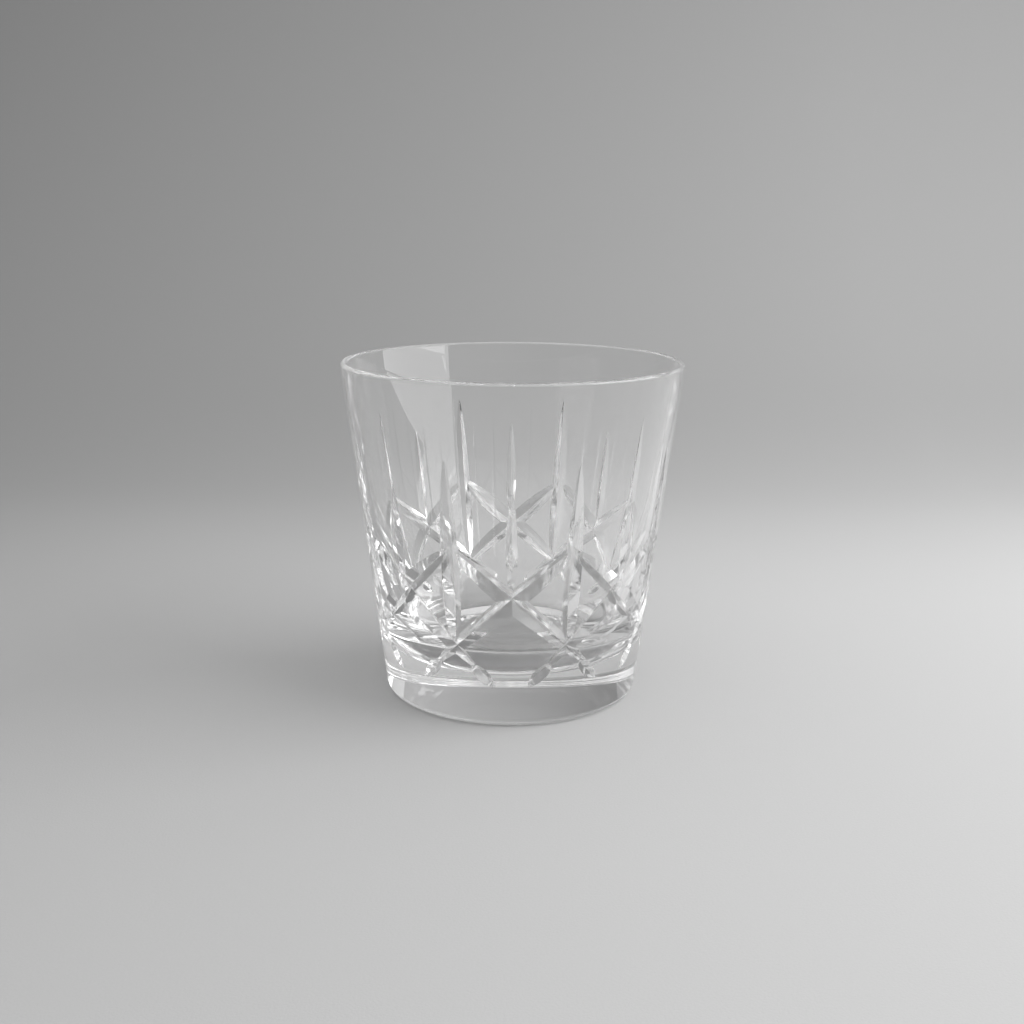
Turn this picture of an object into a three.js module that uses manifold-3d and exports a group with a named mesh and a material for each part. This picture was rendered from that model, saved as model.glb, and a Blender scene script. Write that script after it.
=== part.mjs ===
// Cut-crystal old-fashioned tumbler: one gather of lead crystal with a thick base and a wall that
// thins quickly up to a soft knee and slowly from there to the lip, cut on the wheel with tall
// spears, short spears, crossed mitres and leaf tips.
// Millimetres, +Z up. The origin is the centre of the underside, and -Y is the front.

import * as THREE from 'three';
import { mergeVertices } from 'three/addons/utils/BufferGeometryUtils.js';
import Module from 'manifold-3d';

// The uncut blank
const height = 84.5;
const rimDiameter = 85;
const baseDiameter = 64;
const baseEdgeRadius = 2.6;
const lipThickness = 1.5;
const wallAtKnee = 2.5;
const kneeHeight = 47;
const kneeRadius = 200;
const wallAtFloor = 6.5;
const floorThickness = 10.5;
const floorCornerRadius = 18;

// The cut pattern: heights on the outside, angles round the axis, and widths at the widest place
const repeats = 8;
const mitreAngle = 104;
const cutFullness = 0.65;
const upperCrossing = 33;
const lowerCrossing = 20.5;
const tallSpearTop = 66;
const tallSpearWidth = 4.6;
const shortSpearTop = 59.2;
const shortSpearClearance = 2;
const shortSpearWidth = 2.8;
const diagonalTop = 44.8;
const diagonalOverrun = 10;
const diagonalWidth = 5;
const leafTip = 11;
const leafTipAngle = 15.5;
const leafRootAngle = 6.5;
const leafWidth = 3.2;

// Where along a cut it is widest, from its first end at 0 to its other end at 1
const tallSpearWidest = 0.38;
const shortSpearWidest = 0.4;
const diagonalWidest = 0.42;
const leafWidest = 0.45;

// Fineness of the faceted solid
const turnSegments = 80;
const arcDivisions = 4;
const cutSteps = 10;

// How far a cutter stands out of the wall, so that it opens the surface cleanly
const cutterProud = 0.4;

const wasm = await Module();
wasm.setup();

const axis = new THREE.Vector2(0, 0);
const pitch = 360 / repeats;
const lipRadius = lipThickness / 2;
const lipCentre = new THREE.Vector2(rimDiameter / 2 - lipRadius, height - lipRadius);
const baseCorner = new THREE.Vector2(baseDiameter / 2, 0);
const lipOutside = lipTangent(baseCorner, -1);
const sideSlope = (lipOutside.x - baseCorner.x) / lipOutside.y;

// Where a line from a point touches the lip's circle, on its outer (-1) or inner (1) side
function lipTangent(from, side) {
  const reach = lipCentre.clone().sub(from);
  const run = Math.sqrt(reach.lengthSq() - lipRadius ** 2);
  const turn = side * Math.asin(lipRadius / reach.length());
  return reach.rotateAround(axis, turn).setLength(run).add(from);
}

// Outside radius of the straight side at a height
function sideRadius(z) {
  return baseCorner.x + sideSlope * z;
}

// Adds the arc that rounds a corner between the points before and after it
function roundCorner(path, before, corner, after, radius) {
  const back = before.clone().sub(corner).normalize();
  const onward = after.clone().sub(corner).normalize();
  const halfAngle = Math.acos(back.dot(onward)) / 2;
  const inward = back.clone().add(onward).setLength(radius / Math.sin(halfAngle));
  const centre = corner.clone().add(inward);
  const run = radius / Math.tan(halfAngle);
  const start = back.multiplyScalar(run).sub(inward).angle();
  const end = onward.multiplyScalar(run).sub(inward).angle();
  path.absarc(centre.x, centre.y, radius, start, end, false);
}

// The uncut glass, turned from its half section
function turnedBlank() {
  const underside = new THREE.Vector2(0, 0);
  const floorCentre = new THREE.Vector2(0, floorThickness);
  const floorCorner = new THREE.Vector2(sideRadius(floorThickness) - wallAtFloor, floorThickness);
  const knee = new THREE.Vector2(sideRadius(kneeHeight) - wallAtKnee, kneeHeight);
  const lipInside = lipTangent(knee, 1);

  const outside = new THREE.Path();
  roundCorner(outside, underside, baseCorner, lipOutside, baseEdgeRadius);
  const lipStart = lipOutside.clone().sub(lipCentre).angle();
  const lipEnd = lipInside.clone().sub(lipCentre).angle();
  outside.absarc(lipCentre.x, lipCentre.y, lipRadius, lipStart, lipEnd, false);

  const inside = new THREE.Path();
  roundCorner(inside, floorCentre, floorCorner, knee, floorCornerRadius);
  roundCorner(inside, floorCorner, knee, lipInside, kneeRadius);
  const hollow = inside.getPoints(arcDivisions).reverse();

  const section = [underside, ...outside.getPoints(arcDivisions), ...hollow, floorCentre];
  return new THREE.LatheGeometry(section, turnSegments).rotateX(Math.PI / 2);
}

// A point of the straight side, from its angle in degrees (x) and its height (y)
function onSide(place) {
  const angle = THREE.MathUtils.degToRad(place.x);
  const radius = sideRadius(place.y);
  return new THREE.Vector3(radius * Math.sin(angle), -radius * Math.cos(angle), place.y);
}

// The way out of the glass at a point of the straight side
function outOfSide(place) {
  const angle = THREE.MathUtils.degToRad(place.x);
  return new THREE.Vector3(Math.sin(angle), -Math.cos(angle), -sideSlope).normalize();
}

// Width of a cut at t along it, as a share of its greatest: it narrows to both ends
function swell(t, widest) {
  const arch = Math.sin(Math.PI * t ** (Math.log(0.5) / Math.log(widest)));
  return Math.max(arch, 0) ** cutFullness;
}

// A mitre cutter: a V section that follows a line drawn on the side and swells along it.
// The line's ends are given as an angle in degrees (x) and a height (y).
function mitreCutter(from, to, width, widest) {
  const flank = Math.tan(THREE.MathUtils.degToRad(mitreAngle / 2));
  const line = new THREE.LineCurve(from, to);
  const nearby = 0.5 / cutSteps;
  const corners = [];
  for (let i = 0; i <= cutSteps; i++) {
    const t = (1 - Math.cos(Math.PI * i / cutSteps)) / 2;
    const place = line.getPoint(t);
    const out = outOfSide(place);
    const ahead = onSide(line.getPoint(t + nearby));
    const behind = onSide(line.getPoint(t - nearby));
    const across = ahead.sub(behind).cross(out).normalize();
    const depth = swell(t, widest) * width / 2 / flank;
    const spread = (depth + cutterProud) * flank;
    const crest = onSide(place).addScaledVector(out, cutterProud);
    const valley = onSide(place).addScaledVector(out, -depth);
    const right = crest.clone().addScaledVector(across, spread);
    const left = crest.clone().addScaledVector(across, -spread);
    corners.push(...valley, ...right, ...left);
  }

  const last = cutSteps * 3;
  const triangles = [0, 1, 2, last, last + 2, last + 1];
  for (let i = 0; i < last; i += 3) {
    for (let side = 0; side < 3; side++) {
      const here = i + side;
      const next = i + (side + 1) % 3;
      triangles.push(here, here + 3, next + 3, here, next + 3, next);
    }
  }
  const geometry = new THREE.BufferGeometry();
  geometry.setAttribute('position', new THREE.Float32BufferAttribute(corners, 3));
  geometry.setIndex(triangles);
  return geometry;
}

// An upright cut
function spear(angle, bottom, top, width, widest) {
  const from = new THREE.Vector2(angle, bottom);
  const to = new THREE.Vector2(angle, top);
  return mitreCutter(from, to, width, widest);
}

// A slanting cut from one tall spear, over the crossing halfway, to the foot of the next and past it
function diagonal(angle, hand) {
  const fall = (diagonalTop - lowerCrossing) / pitch;
  const from = new THREE.Vector2(angle - hand * pitch / 2, diagonalTop);
  const end = lowerCrossing - fall * diagonalOverrun;
  const to = new THREE.Vector2(angle + hand * (pitch / 2 + diagonalOverrun), end);
  return mitreCutter(from, to, diagonalWidth, diagonalWidest);
}

// A leaf that ends a diagonal, on the line from the foot of a tall spear down to the leaf's tip
function leaf(angle, hand) {
  const fall = (lowerCrossing - leafTip) / leafTipAngle;
  const root = lowerCrossing - fall * leafRootAngle;
  const from = new THREE.Vector2(angle + hand * (pitch / 2 + leafRootAngle), root);
  const to = new THREE.Vector2(angle + hand * (pitch / 2 + leafTipAngle), leafTip);
  return mitreCutter(from, to, leafWidth, leafWidest);
}

// All the cuts round the glass
function cutters() {
  const shortSpearBottom = upperCrossing + shortSpearClearance;
  const all = [];
  for (let i = 0; i < repeats; i++) {
    const angle = i * pitch;
    all.push(spear(angle + pitch / 2, lowerCrossing, tallSpearTop, tallSpearWidth, tallSpearWidest));
    all.push(spear(angle, shortSpearBottom, shortSpearTop, shortSpearWidth, shortSpearWidest));
    for (const hand of [1, -1]) {
      all.push(diagonal(angle, hand));
      all.push(leaf(angle, hand));
    }
  }
  return all;
}

// A closed mesh as a solid that can be cut
function solid(geometry) {
  geometry.deleteAttribute('normal');
  geometry.deleteAttribute('uv');
  const merged = mergeVertices(geometry);
  const vertProperties = merged.attributes.position.array;
  const triVerts = Uint32Array.from(merged.index.array);
  return new wasm.Manifold(new wasm.Mesh({ numProp: 3, vertProperties, triVerts }));
}

function cutGlass() {
  let glass = solid(turnedBlank());
  for (const cutter of cutters()) {
    glass = glass.subtract(solid(cutter));
  }
  const mesh = glass.getMesh();
  const geometry = new THREE.BufferGeometry();
  geometry.setAttribute('position', new THREE.BufferAttribute(mesh.vertProperties, 3));
  geometry.setIndex(new THREE.BufferAttribute(mesh.triVerts, 1));
  geometry.computeVertexNormals();
  return geometry;
}

const crystal = new THREE.MeshStandardMaterial({
  color: '#eef1f1',
  roughness: 0.03,
  metalness: 0,
  transparent: true,
  opacity: 0.35,
});

const tumbler = new THREE.Group();
const body = new THREE.Mesh(cutGlass(), crystal);
body.name = 'crystal_tumbler';
tumbler.add(body);

export default tumbler;
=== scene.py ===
import math

import bpy
from mathutils import Matrix, Vector


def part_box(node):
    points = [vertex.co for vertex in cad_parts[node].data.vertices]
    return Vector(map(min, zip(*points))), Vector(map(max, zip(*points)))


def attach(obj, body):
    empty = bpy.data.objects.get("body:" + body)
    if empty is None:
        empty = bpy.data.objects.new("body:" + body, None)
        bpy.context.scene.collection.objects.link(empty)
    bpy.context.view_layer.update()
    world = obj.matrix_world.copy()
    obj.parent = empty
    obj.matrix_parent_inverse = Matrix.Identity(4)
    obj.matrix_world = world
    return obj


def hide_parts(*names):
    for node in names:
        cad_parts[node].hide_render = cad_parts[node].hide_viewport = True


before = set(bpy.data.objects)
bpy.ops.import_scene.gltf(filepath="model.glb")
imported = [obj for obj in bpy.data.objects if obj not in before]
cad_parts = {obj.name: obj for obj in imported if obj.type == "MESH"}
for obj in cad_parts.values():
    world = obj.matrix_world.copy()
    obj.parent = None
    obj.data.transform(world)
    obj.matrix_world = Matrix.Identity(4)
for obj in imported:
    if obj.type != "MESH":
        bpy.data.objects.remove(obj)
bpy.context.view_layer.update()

MM = 0.001
NODE = "crystal_tumbler"
low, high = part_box(NODE)

# The blank, in millimetres: the height and the rim come from the frame
HEIGHT = (high.z - low.z) / MM
RIM_DIAMETER = (high.x - low.x) / MM
BASE_DIAMETER = 64
BASE_EDGE_RADIUS = 2.6
LIP_THICKNESS = 1.5
WALL_AT_KNEE = 2.5
KNEE_HEIGHT = 47
KNEE_RADIUS = 200
WALL_AT_FLOOR = 6.5
FLOOR_THICKNESS = 10.5
FLOOR_CORNER_RADIUS = 18

# The cut pattern: heights and widths on the side in millimetres, angles round the axis in degrees.
# WIDEST says where along a cut it is widest, from its first end at 0 to its other end at 1.
REPEATS = 8
PITCH = 360 / REPEATS
MITRE_ANGLE = 104
CUT_FULLNESS = 0.65
UPPER_CROSSING = 33
LOWER_CROSSING = 20.5
TALL_SPEAR_TOP = 66
TALL_SPEAR_WIDTH = 4.6
TALL_SPEAR_WIDEST = 0.38
SHORT_SPEAR_TOP = 59.2
SHORT_SPEAR_CLEARANCE = 2
SHORT_SPEAR_WIDTH = 2.8
SHORT_SPEAR_WIDEST = 0.4
DIAGONAL_TOP = 44.8
DIAGONAL_OVERRUN = 10
DIAGONAL_WIDTH = 5
DIAGONAL_WIDEST = 0.42
LEAF_TIP = 11
LEAF_TIP_ANGLE = 15.5
LEAF_ROOT_ANGLE = 6.5
LEAF_WIDTH = 3.2
LEAF_WIDEST = 0.45

# How far a cut made by hand strays from its mark, in degrees and millimetres
WANDER_ANGLE = 0.5
WANDER_HEIGHT = 0.3

# The rings of cuts take their random draws this far apart
SEED_STEP = 10

# How far a cutter stands out of the wall, so that it opens the surface cleanly
CUTTER_PROUD = 0.4

# The blank is turned by a sweep round a circle too small to see, then welded, in millimetres
TURNING_RADIUS = 0.001
WELD_DISTANCE = 0.01

# Fineness of the mesh, and the steepest meeting of two faces that still shades as one surface
TURN_SEGMENTS = 640
ARC_STEPS = 20
CUT_POINTS = 56
SHARP_ANGLE = 20

# A face whose corners are this near the cone of the side, in millimetres, belongs to it
SIDE_TOLERANCE = 0.01

# Crystal with 24 percent lead
CRYSTAL_IOR = 1.56

# Polishing rounds the edges of the cuts a little, in millimetres
EDGE_ROUNDING = 0.15
EDGE_SAMPLES = 6

# The wheel's lines along a cut, in millimetres. Real ones are finer than a pixel, so they are
# drawn coarser.
LINE_SPACING = 0.7
LINE_DEPTH = 0.02

# The paper's colour is painted paler from left to right, as light from the softbox falls, and
# painted darker from floor to backdrop as shade, between these places in millimetres
PAPER_LEFT = -350
PAPER_RIGHT = 200
FLOOR_END = 50
BACKDROP_START = 360

# The paper's tooth, in millimetres, and how far it lightens and darkens the tone. Real fibre is
# finer than a pixel, so it is drawn at twice its size.
TOOTH_SIZE = 0.5
TOOTH_DEPTH = 0.03
TOOTH_FLECK = 0.03

# The camera: its place in millimetres, its turns in radians, and its focal length in pixels
IMAGE_PIXELS = 1024
FOCAL_PIXELS = 1320
SENSOR = 36
CAMERA_PLACE = (0.08, -327.8, 124.1)
CAMERA_PITCH = 0.235
CAMERA_ROLL = 0.006

# The paper sweep that is floor and backdrop, in millimetres
SWEEP_FRONT = 600
SWEEP_HALF_WIDTH = 600
SWEEP_TOP = 900
COVE_START = 220
COVE_RADIUS = 300
COVE_STEPS = 24

# The thin film of air under a glass that stands on paper, in millimetres
AIR_UNDER_GLASS = 0.05

# The room is brightest towards this side, where the soft light stands. It goes from dim to
# bright between these two cosines of the angle from there.
BRIGHT_SIDE = Vector((0.6, -0.1, 0.79))
DIM_COSINE = -0.4
BRIGHT_COSINE = 0.9
ROOM_STRENGTH = 0.85

# The soft light on the right and its spill from higher up, in millimetres and watts
SOFTBOX_PLACE = (1850, -325, 953)
SOFTBOX_WATTS = 33.5
SPILL_PLACE = (900, -150, 1600)
SPILL_WATTS = 6.5
SOFTBOX_AIM = (0, 0, 612)
SOFTBOX_WIDTH = 2268
SOFTBOX_HEIGHT = 1792

# Light is turned back many times inside thick crystal before it leaves
LIGHT_BOUNCES = 48


def linear(hex_colour):
    """An sRGB hex colour as linear red, green, blue and alpha."""
    channels = [int(hex_colour[i:i + 2], 16) / 255 for i in (1, 3, 5)]
    return [c / 12.92 if c <= 0.04045 else ((c + 0.055) / 1.055) ** 2.4 for c in channels] + [1.0]


def node(tree, kind, inputs=None, **settings):
    """Adds a node with its settings. Inputs are values, sockets or nodes, by name or number."""
    made = tree.nodes.new(kind)
    for name, value in settings.items():
        setattr(made, name, value)
    for name, value in (inputs or {}).items():
        if isinstance(value, bpy.types.Node):
            value = value.outputs[0]
        if isinstance(value, bpy.types.NodeSocket):
            tree.links.new(value, made.inputs[name])
        else:
            made.inputs[name].default_value = value
    return made


# Finishes

def crystal(name, roughness, ripple, ripple_depth):
    """Colourless lead glass: its ripple, in millimetres, bends what shows through."""
    finish = bpy.data.materials.new(name)
    finish.use_nodes = True
    tree = finish.node_tree
    shader = tree.nodes["Principled BSDF"]
    shader.inputs["Base Color"].default_value = linear("#ffffff")
    shader.inputs["Transmission Weight"].default_value = 1
    shader.inputs["IOR"].default_value = CRYSTAL_IOR
    place = node(tree, "ShaderNodeTexCoord").outputs["Object"]
    waves = node(tree, "ShaderNodeTexNoise", {
        "Vector": place, "Scale": 1 / (ripple * MM), "Detail": 1})
    gloss = node(tree, "ShaderNodeMapRange", {
        "Value": waves, "To Min": roughness / 2, "To Max": roughness * 3 / 2})
    rounded = node(tree, "ShaderNodeBevel", {"Radius": EDGE_ROUNDING * MM}, samples=EDGE_SAMPLES)
    bump = node(tree, "ShaderNodeBump", {
        "Height": waves, "Distance": ripple_depth * MM, "Strength": 1, "Normal": rounded})
    tree.links.new(gloss.outputs[0], shader.inputs["Roughness"])
    tree.links.new(bump.outputs[0], shader.inputs["Normal"])
    return finish


def fire_polished_crystal():
    """Smoothed in the flame: clear and bright, with the slow ripple of hand-made glass."""
    return crystal("fire-polished lead crystal", roughness=0.004, ripple=9, ripple_depth=0.004)


def acid_polished_cut():
    """Cut on the wheel, then dipped in acid: a waxy, uneven gloss with soft lines along the cut."""
    finish = crystal("acid-polished mitre cut", roughness=0.08, ripple=1.5, ripple_depth=0.002)
    tree = finish.node_tree
    normal = tree.nodes["Principled BSDF"].inputs["Normal"]
    # Lines that keep to one depth below the side run along each cut, as the wheel leaves them
    place = node(tree, "ShaderNodeTexCoord").outputs["Object"]
    height = node(tree, "ShaderNodeSeparateXYZ", {0: place}).outputs["Z"]
    flat = node(tree, "ShaderNodeVectorMath", {0: place, 1: (1, 1, 0)}, operation="MULTIPLY")
    reach = node(tree, "ShaderNodeVectorMath", {0: flat}, operation="LENGTH").outputs["Value"]
    side = node(tree, "ShaderNodeMath", {
        0: height, 1: SIDE_SLOPE, 2: BASE_CORNER.x * MM}, operation="MULTIPLY_ADD")
    depth = node(tree, "ShaderNodeMath", {0: side, 1: reach}, operation="SUBTRACT")
    lines = node(tree, "ShaderNodeTexNoise", {
        "W": depth, "Scale": 1 / (LINE_SPACING * MM), "Detail": 2}, noise_dimensions="1D")
    lined = node(tree, "ShaderNodeBump", {
        "Height": lines, "Distance": LINE_DEPTH * MM, "Strength": 1,
        "Normal": normal.links[0].from_socket})
    tree.links.new(lined.outputs[0], normal)
    return finish


def ground_underside():
    """Ground flat and buffed: nearly clear, with a faint haze that softens the paper under it."""
    return crystal("ground and polished underside", roughness=0.03, ripple=4, ripple_depth=0.004)


def background_paper():
    """Matt studio paper with painted shading from pale to mid grey, lighter towards the softbox on
    the right and darker up the backdrop: no shine, and a tooth that catches light.
    """
    paper = bpy.data.materials.new("matt background paper with painted light and shade")
    paper.use_nodes = True
    tree = paper.node_tree
    shader = tree.nodes["Principled BSDF"]
    shader.inputs["Roughness"].default_value = 0.9
    shader.inputs["Specular IOR Level"].default_value = 0.2
    place = node(tree, "ShaderNodeTexCoord").outputs["Object"]
    spread = node(tree, "ShaderNodeSeparateXYZ", {0: place})
    # Painted light and shade: the paper's colour is paler to the right, towards the softbox, and
    # darker up the backdrop
    painted_light_across = node(tree, "ShaderNodeMapRange", {
        "Value": spread.outputs["X"], "From Min": PAPER_LEFT * MM, "From Max": PAPER_RIGHT * MM})
    painted_shade_upward = node(tree, "ShaderNodeMapRange", {
        "Value": spread.outputs["Y"], "From Min": FLOOR_END * MM, "From Max": BACKDROP_START * MM},
        interpolation_type="SMOOTHSTEP")
    # Inputs 6 and 7 of a colour Mix are its two colours
    floor_painted_light = node(tree, "ShaderNodeMix", {
        0: painted_light_across, 6: linear("#9a9a9a"), 7: linear("#e4e4e4")}, data_type="RGBA")
    backdrop_painted_light = node(tree, "ShaderNodeMix", {
        0: painted_light_across, 6: linear("#919191"), 7: linear("#b2b2b2")}, data_type="RGBA")
    tone = node(tree, "ShaderNodeMix", {
        0: painted_shade_upward, 6: floor_painted_light.outputs[2], 7: backdrop_painted_light.outputs[2]}, data_type="RGBA")
    tooth = node(tree, "ShaderNodeTexNoise", {
        "Vector": place, "Scale": 1 / (TOOTH_SIZE * MM), "Detail": 3})
    fleck = node(tree, "ShaderNodeMapRange", {
        "Value": tooth, "To Min": 1 - TOOTH_FLECK, "To Max": 1 + TOOTH_FLECK})
    flecked = node(tree, "ShaderNodeVectorMath", {
        0: tone.outputs[2], 1: fleck}, operation="MULTIPLY")
    bump = node(tree, "ShaderNodeBump", {
        "Height": tooth, "Distance": TOOTH_DEPTH * MM, "Strength": 1})
    tree.links.new(flecked.outputs[0], shader.inputs["Base Color"])
    tree.links.new(bump.outputs[0], shader.inputs["Normal"])
    return paper


# Half section of the blank

def lip_tangent(start, side):
    """Where a line from start touches the lip's circle, on its outer (-1) or inner (1) side."""
    reach = LIP_CENTRE - start
    run = math.sqrt(reach.length_squared - LIP_RADIUS ** 2)
    turn = Matrix.Rotation(side * math.asin(LIP_RADIUS / reach.length), 2)
    return start + (turn @ reach).normalized() * run


LIP_RADIUS = LIP_THICKNESS / 2
LIP_CENTRE = Vector((RIM_DIAMETER / 2 - LIP_RADIUS, HEIGHT - LIP_RADIUS))
BASE_CORNER = Vector((BASE_DIAMETER / 2, 0))
LIP_OUTSIDE = lip_tangent(BASE_CORNER, -1)
SIDE_SLOPE = (LIP_OUTSIDE.x - BASE_CORNER.x) / LIP_OUTSIDE.y
SIDE_TILT = math.atan(SIDE_SLOPE)


def side_radius(height):
    """Outside radius of the straight side at a height."""
    return BASE_CORNER.x + SIDE_SLOPE * height


def arc(centre, radius, start, end):
    """Points of an arc from one direction to another, anticlockwise."""
    first = math.atan2(start.y, start.x)
    sweep = (math.atan2(end.y, end.x) - first) % math.tau
    angles = [first + sweep * i / ARC_STEPS for i in range(ARC_STEPS + 1)]
    return [centre + radius * Vector((math.cos(a), math.sin(a))) for a in angles]


def round_corner(before, corner, after, radius):
    """The arc that rounds a corner between the points before and after it."""
    back = (before - corner).normalized()
    onward = (after - corner).normalized()
    half_angle = back.angle(onward) / 2
    centre = corner + (back + onward).normalized() * radius / math.sin(half_angle)
    run = radius / math.tan(half_angle)
    return arc(centre, radius, corner + back * run - centre, corner + onward * run - centre)


def half_section():
    """Outline of the blank, from its underside's centre round the lip to its floor's centre."""
    underside = Vector((0, 0))
    floor_centre = Vector((0, FLOOR_THICKNESS))
    floor_corner = Vector((side_radius(FLOOR_THICKNESS) - WALL_AT_FLOOR, FLOOR_THICKNESS))
    knee = Vector((side_radius(KNEE_HEIGHT) - WALL_AT_KNEE, KNEE_HEIGHT))
    lip_inside = lip_tangent(knee, 1)
    outline = [underside]
    outline += round_corner(underside, BASE_CORNER, LIP_OUTSIDE, BASE_EDGE_RADIUS)
    outline += arc(LIP_CENTRE, LIP_RADIUS, LIP_OUTSIDE - LIP_CENTRE, lip_inside - LIP_CENTRE)
    outline += reversed(round_corner(floor_corner, knee, lip_inside, KNEE_RADIUS))
    outline += reversed(round_corner(floor_centre, floor_corner, knee, FLOOR_CORNER_RADIUS))
    return outline + [floor_centre]


# The cuts

def mitre_tree():
    """One V cut that follows a line on the side: it swells from a point and runs out to a point."""
    tree = bpy.data.node_groups.new("mitre cut", "GeometryNodeTree")
    for name in ("Start Angle", "End Angle", "Start Height", "End Height", "Width", "Widest"):
        tree.interface.new_socket(name, in_out="INPUT", socket_type="NodeSocketFloat")
    tree.interface.new_socket("Cutter", in_out="OUTPUT", socket_type="NodeSocketGeometry")
    given = node(tree, "NodeGroupInput").outputs

    # The way along the cut, from 0 to 1, in steps that close up towards its ends
    number = node(tree, "GeometryNodeInputIndex")
    half_turn = node(tree, "ShaderNodeMath", {
        0: number, 1: math.pi / (CUT_POINTS - 1)}, operation="MULTIPLY")
    cosine = node(tree, "ShaderNodeMath", {0: half_turn}, operation="COSINE")
    along = node(tree, "ShaderNodeMath", {0: cosine, 1: -0.5, 2: 0.5}, operation="MULTIPLY_ADD")

    # The line it follows, a little proud of the side, and the way out of the glass there
    angle = node(tree, "ShaderNodeMix", {
        "Factor": along, "A": given["Start Angle"], "B": given["End Angle"]})
    height = node(tree, "ShaderNodeMix", {
        "Factor": along, "A": given["Start Height"], "B": given["End Height"]})
    out = Vector((0, -math.cos(SIDE_TILT), -math.sin(SIDE_TILT)))
    forward = node(tree, "ShaderNodeMath", {
        0: height, 1: -SIDE_SLOPE * MM, 2: (out.y * CUTTER_PROUD - BASE_CORNER.x) * MM},
        operation="MULTIPLY_ADD")
    level = node(tree, "ShaderNodeMath", {
        0: height, 1: MM, 2: out.z * CUTTER_PROUD * MM}, operation="MULTIPLY_ADD")
    at_front = node(tree, "ShaderNodeCombineXYZ", {"Y": forward, "Z": level})
    turn = node(tree, "ShaderNodeMath", {0: angle}, operation="RADIANS")
    crest = node(tree, "ShaderNodeVectorRotate", {
        "Vector": at_front, "Angle": turn}, rotation_type="Z_AXIS")
    outward = node(tree, "ShaderNodeVectorRotate", {
        "Vector": out, "Angle": turn}, rotation_type="Z_AXIS")

    # Its depth below the crest: a sine arch, skewed to be widest at its place and filled out
    flank = math.tan(math.radians(MITRE_ANGLE / 2))
    skew = node(tree, "ShaderNodeMath", {0: 0.5, 1: given["Widest"]}, operation="LOGARITHM")
    skewed = node(tree, "ShaderNodeMath", {0: along, 1: skew}, operation="POWER")
    phase = node(tree, "ShaderNodeMath", {0: skewed, 1: math.pi}, operation="MULTIPLY")
    sine = node(tree, "ShaderNodeMath", {0: phase}, operation="SINE")
    arch = node(tree, "ShaderNodeMath", {0: sine, 1: 0}, operation="MAXIMUM")
    swell = node(tree, "ShaderNodeMath", {0: arch, 1: CUT_FULLNESS}, operation="POWER")
    full_depth = node(tree, "ShaderNodeMath", {
        0: given["Width"], 1: MM / 2 / flank}, operation="MULTIPLY")
    depth = node(tree, "ShaderNodeMath", {
        0: swell, 1: full_depth, 2: CUTTER_PROUD * MM}, operation="MULTIPLY_ADD")

    # A triangle with its point down, one unit deep, swept along the line
    line = node(tree, "GeometryNodeCurvePrimitiveLine")
    points = node(tree, "GeometryNodeResampleCurve", {"Curve": line, "Count": CUT_POINTS})
    placed = node(tree, "GeometryNodeSetPosition", {"Geometry": points, "Position": crest})
    turned = node(tree, "GeometryNodeSetCurveNormal", {
        "Curve": placed, "Normal": outward}, mode="FREE")
    triangle = node(tree, "GeometryNodeCurvePrimitiveCircle", {"Resolution": 3, "Radius": 1})
    section = node(tree, "GeometryNodeTransform", {
        "Geometry": triangle, "Translation": (-1 / 3, 0, 0), "Rotation": (0, 0, math.pi),
        "Scale": (2 / 3, flank / math.sin(math.radians(60)), 1)})
    swept = node(tree, "GeometryNodeCurveToMesh", {
        "Curve": turned, "Profile Curve": section, "Scale": depth, "Fill Caps": True})
    node(tree, "NodeGroupOutput", {"Cutter": swept})
    return tree


def pattern():
    """The sizes of each cut of one repeat, as the inputs of the mitre tree."""
    fall = (DIAGONAL_TOP - LOWER_CROSSING) / PITCH
    leaf_fall = (LOWER_CROSSING - LEAF_TIP) / LEAF_TIP_ANGLE
    cuts = [
        {"Start Angle": PITCH / 2, "End Angle": PITCH / 2,
         "Start Height": LOWER_CROSSING, "End Height": TALL_SPEAR_TOP,
         "Width": TALL_SPEAR_WIDTH, "Widest": TALL_SPEAR_WIDEST},
        {"Start Height": UPPER_CROSSING + SHORT_SPEAR_CLEARANCE, "End Height": SHORT_SPEAR_TOP,
         "Width": SHORT_SPEAR_WIDTH, "Widest": SHORT_SPEAR_WIDEST},
    ]
    for hand in (1, -1):
        cuts.append({
            "Start Angle": -hand * PITCH / 2, "End Angle": hand * (PITCH / 2 + DIAGONAL_OVERRUN),
            "Start Height": DIAGONAL_TOP, "End Height": LOWER_CROSSING - fall * DIAGONAL_OVERRUN,
            "Width": DIAGONAL_WIDTH, "Widest": DIAGONAL_WIDEST})
        cuts.append({
            "Start Angle": hand * (PITCH / 2 + LEAF_ROOT_ANGLE),
            "End Angle": hand * (PITCH / 2 + LEAF_TIP_ANGLE),
            "Start Height": LOWER_CROSSING - leaf_fall * LEAF_ROOT_ANGLE, "End Height": LEAF_TIP,
            "Width": LEAF_WIDTH, "Widest": LEAF_WIDEST})
    return cuts


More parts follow.
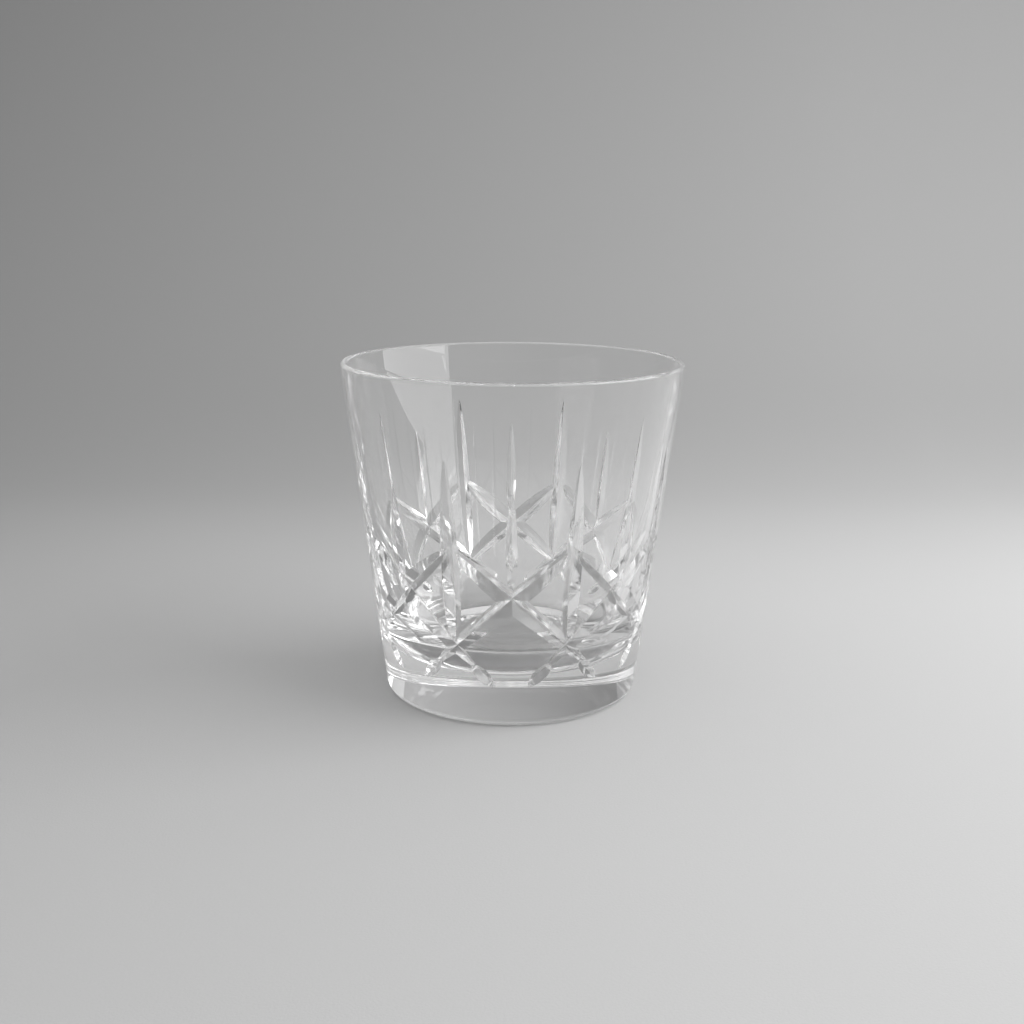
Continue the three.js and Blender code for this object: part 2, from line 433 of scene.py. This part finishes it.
def ring_of_cuts(tree, cutter, seed):
    """A cut repeated round the glass, each a little off its mark as a hand-held cut is."""
    number = node(tree, "GeometryNodeInputIndex")
    slip = math.radians(WANDER_ANGLE)
    lift = WANDER_HEIGHT * MM
    # Inputs 2 and 3 of Random Value, and its output 1, are its float range and result
    slipped = node(tree, "FunctionNodeRandomValue", {
        2: -slip, 3: slip, "ID": number, "Seed": seed}, data_type="FLOAT")
    lifted = node(tree, "FunctionNodeRandomValue", {
        2: -lift, 3: lift, "ID": number, "Seed": seed + 1}, data_type="FLOAT")
    turn = node(tree, "ShaderNodeMath", {
        0: number, 1: math.radians(PITCH), 2: slipped.outputs[1]}, operation="MULTIPLY_ADD")
    rotation = node(tree, "FunctionNodeAxisAngleToRotation", {"Axis": (0, 0, 1), "Angle": turn})
    offset = node(tree, "ShaderNodeCombineXYZ", {"Z": lifted.outputs[1]})
    points = node(tree, "GeometryNodePoints", {"Count": REPEATS})
    marks = node(tree, "GeometryNodeSetPosition", {"Geometry": points, "Offset": offset})
    return node(tree, "GeometryNodeInstanceOnPoints", {
        "Points": marks, "Instance": cutter, "Rotation": rotation})


# The glass

def tumbler_tree():
    """Turns the half section into the blank, takes out every cut and gives each face its finish."""
    tree = bpy.data.node_groups.new("cut tumbler", "GeometryNodeTree")
    tree.interface.new_socket("Section", in_out="INPUT", socket_type="NodeSocketGeometry")
    tree.interface.new_socket("Turn Segments", in_out="INPUT", socket_type="NodeSocketInt")
    tree.interface.new_socket("Glass", in_out="OUTPUT", socket_type="NodeSocketGeometry")
    given = node(tree, "NodeGroupInput").outputs

    circle = node(tree, "GeometryNodeCurvePrimitiveCircle", {
        "Resolution": given["Turn Segments"], "Radius": TURNING_RADIUS * MM})
    upright = node(tree, "GeometryNodeSetCurveNormal", {"Curve": circle}, mode="Z_UP")
    section = node(tree, "GeometryNodeMeshToCurve", {"Mesh": given["Section"]})
    turned = node(tree, "GeometryNodeCurveToMesh", {"Curve": upright, "Profile Curve": section})
    outward = node(tree, "GeometryNodeFlipFaces", {"Mesh": turned})
    closed = node(tree, "GeometryNodeMergeByDistance", {
        "Geometry": outward, "Distance": WELD_DISTANCE * MM})
    blank = node(tree, "GeometryNodeSetMaterial", {
        "Geometry": closed, "Material": fire_polished_crystal()})

    cutter_tree = mitre_tree()
    polish = acid_polished_cut()
    cuts = node(tree, "GeometryNodeJoinGeometry")
    for number, sizes in enumerate(pattern()):
        shape = node(tree, "GeometryNodeGroup", sizes, node_tree=cutter_tree)
        cutter = node(tree, "GeometryNodeSetMaterial", {"Geometry": shape, "Material": polish})
        ring = ring_of_cuts(tree, cutter, SEED_STEP * number)
        tree.links.new(ring.outputs[0], cuts.inputs[0])
    glass = node(tree, "GeometryNodeMeshBoolean", {
        "Mesh 1": blank, "Mesh 2": cuts}, operation="DIFFERENCE", solver="MANIFOLD")

    whole = node(tree, "GeometryNodeRealizeInstances", {"Geometry": glass})
    place = node(tree, "ShaderNodeSeparateXYZ", {0: node(tree, "GeometryNodeInputPosition")})
    is_under = node(tree, "ShaderNodeMath", {
        0: place.outputs["Z"], 1: BASE_EDGE_RADIUS * MM / 2}, operation="LESS_THAN")
    finished = node(tree, "GeometryNodeSetMaterial", {
        "Geometry": whole, "Selection": is_under, "Material": ground_underside()})
    node(tree, "NodeGroupOutput", {"Glass": finished})
    return tree


def smooth_side(mesh):
    """Gives the uncut side its true cone normals, so that the cuts do not dimple it."""
    normals = [(0, 0, 0)] * len(mesh.loops)
    for face in mesh.polygons:
        places = [mesh.vertices[i].co for i in face.vertices]
        off = [abs(p.xy.length - side_radius(p.z / MM) * MM) for p in places]
        if max(off) < SIDE_TOLERANCE * MM:
            for loop, p in zip(face.loop_indices, places):
                normals[loop] = Vector((p.x, p.y, -SIDE_SLOPE * p.xy.length)).normalized()
    mesh.normals_split_custom_set(normals)


def cut_glass():
    """The tumbler as one plain mesh."""
    outline = half_section()
    # The section is drawn flat, with its height along -Y, and the sweep stands it up
    section = bpy.data.meshes.new("half section")
    section.from_pydata([(p.x * MM, -p.y * MM, 0) for p in outline],
                        [(i, i + 1) for i in range(len(outline) - 1)], [])
    blank = bpy.data.objects.new("blank", section)
    bpy.context.collection.objects.link(blank)
    modifier = blank.modifiers.new("cut", "NODES")
    modifier.node_group = tumbler_tree()
    segments = modifier.node_group.interface.items_tree["Turn Segments"].identifier
    modifier[segments] = TURN_SEGMENTS
    evaluated = blank.evaluated_get(bpy.context.evaluated_depsgraph_get())
    mesh = bpy.data.meshes.new_from_object(evaluated)
    bpy.data.objects.remove(blank)
    mesh.name = "cut crystal"
    mesh.polygons.foreach_set("use_smooth", [True] * len(mesh.polygons))
    mesh.set_sharp_from_angle(angle=math.radians(SHARP_ANGLE))
    smooth_side(mesh)
    glass = bpy.data.objects.new("tumbler_cut_crystal", mesh)
    bpy.context.collection.objects.link(glass)
    return glass


# The studio

def paper_sweep():
    """Floor and backdrop in one: a sheet of paper that curves up behind the glass."""
    side = [(-SWEEP_FRONT, 0)]
    for i in range(COVE_STEPS + 1):
        turn = math.pi / 2 * i / COVE_STEPS
        side.append((COVE_START + COVE_RADIUS * math.sin(turn), COVE_RADIUS * (1 - math.cos(turn))))
    side.append((COVE_START + COVE_RADIUS, SWEEP_TOP))
    edges = (-SWEEP_HALF_WIDTH, SWEEP_HALF_WIDTH)
    corners = [Vector((x, y, z - AIR_UNDER_GLASS)) * MM for y, z in side for x in edges]
    faces = [(2 * i, 2 * i + 1, 2 * i + 3, 2 * i + 2) for i in range(len(side) - 1)]
    mesh = bpy.data.meshes.new("paper sweep")
    mesh.from_pydata(corners, [], faces)
    mesh.polygons.foreach_set("use_smooth", [True] * len(faces))
    mesh.materials.append(background_paper())
    floor = bpy.data.objects.new("paper_sweep", mesh)
    bpy.context.collection.objects.link(floor)


def room_light():
    """The light of a pale room, dimmer low down and on the left."""
    world = bpy.data.worlds.new("studio")
    world.use_nodes = True
    tree = world.node_tree
    way = node(tree, "ShaderNodeTexCoord").outputs["Generated"]
    facing = node(tree, "ShaderNodeVectorMath", {0: way, 1: BRIGHT_SIDE}, operation="DOT_PRODUCT")
    lit = node(tree, "ShaderNodeMapRange", {
        "Value": facing.outputs["Value"], "From Min": DIM_COSINE, "From Max": BRIGHT_COSINE},
        interpolation_type="SMOOTHSTEP")
    tone = node(tree, "ShaderNodeMix", {
        0: lit, 6: linear("#9a9a9a"), 7: linear("#f2f2f2")}, data_type="RGBA")
    tree.links.new(tone.outputs[2], tree.nodes["Background"].inputs["Color"])
    tree.nodes["Background"].inputs["Strength"].default_value = ROOM_STRENGTH
    bpy.context.scene.world = world


def softbox(name, place, watts):
    """A large soft light turned towards the glass."""
    lamp = bpy.data.lights.new(name, "AREA")
    lamp.shape = "RECTANGLE"
    lamp.size = SOFTBOX_WIDTH * MM
    lamp.size_y = SOFTBOX_HEIGHT * MM
    lamp.energy = watts
    light = bpy.data.objects.new(name, lamp)
    light.location = Vector(place) * MM
    aim = Vector(SOFTBOX_AIM) * MM
    light.rotation_euler = (aim - light.location).to_track_quat("-Z", "Y").to_euler()
    bpy.context.collection.objects.link(light)
    return light


def studio_lights():
    """The soft light whose shape shows on the back wall, and a spill that only lights the paper."""
    softbox("right softbox", SOFTBOX_PLACE, SOFTBOX_WATTS)
    spill = softbox("softbox spill", SPILL_PLACE, SPILL_WATTS)
    spill.visible_glossy = False
    spill.visible_transmission = False
    spill.data.use_shadow = False


def camera():
    """The camera at the photograph's place, looking down on the glass."""
    lens = bpy.data.cameras.new("camera")
    lens.sensor_width = SENSOR
    lens.lens = FOCAL_PIXELS / IMAGE_PIXELS * SENSOR
    eye = bpy.data.objects.new("camera", lens)
    tilt = Matrix.Rotation(math.pi / 2 - CAMERA_PITCH, 4, "X")
    roll = Matrix.Rotation(CAMERA_ROLL, 4, "Z")
    eye.matrix_world = Matrix.Translation(Vector(CAMERA_PLACE) * MM) @ tilt @ roll
    bpy.context.collection.objects.link(eye)
    bpy.context.scene.camera = eye


scene = bpy.context.scene
scene.view_settings.view_transform = "Standard"
scene.cycles.max_bounces = LIGHT_BOUNCES
scene.cycles.transmission_bounces = LIGHT_BOUNCES
scene.cycles.glossy_bounces = LIGHT_BOUNCES

camera()
room_light()
studio_lights()
paper_sweep()

glass = cut_glass()
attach(glass, "root")
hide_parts(NODE)
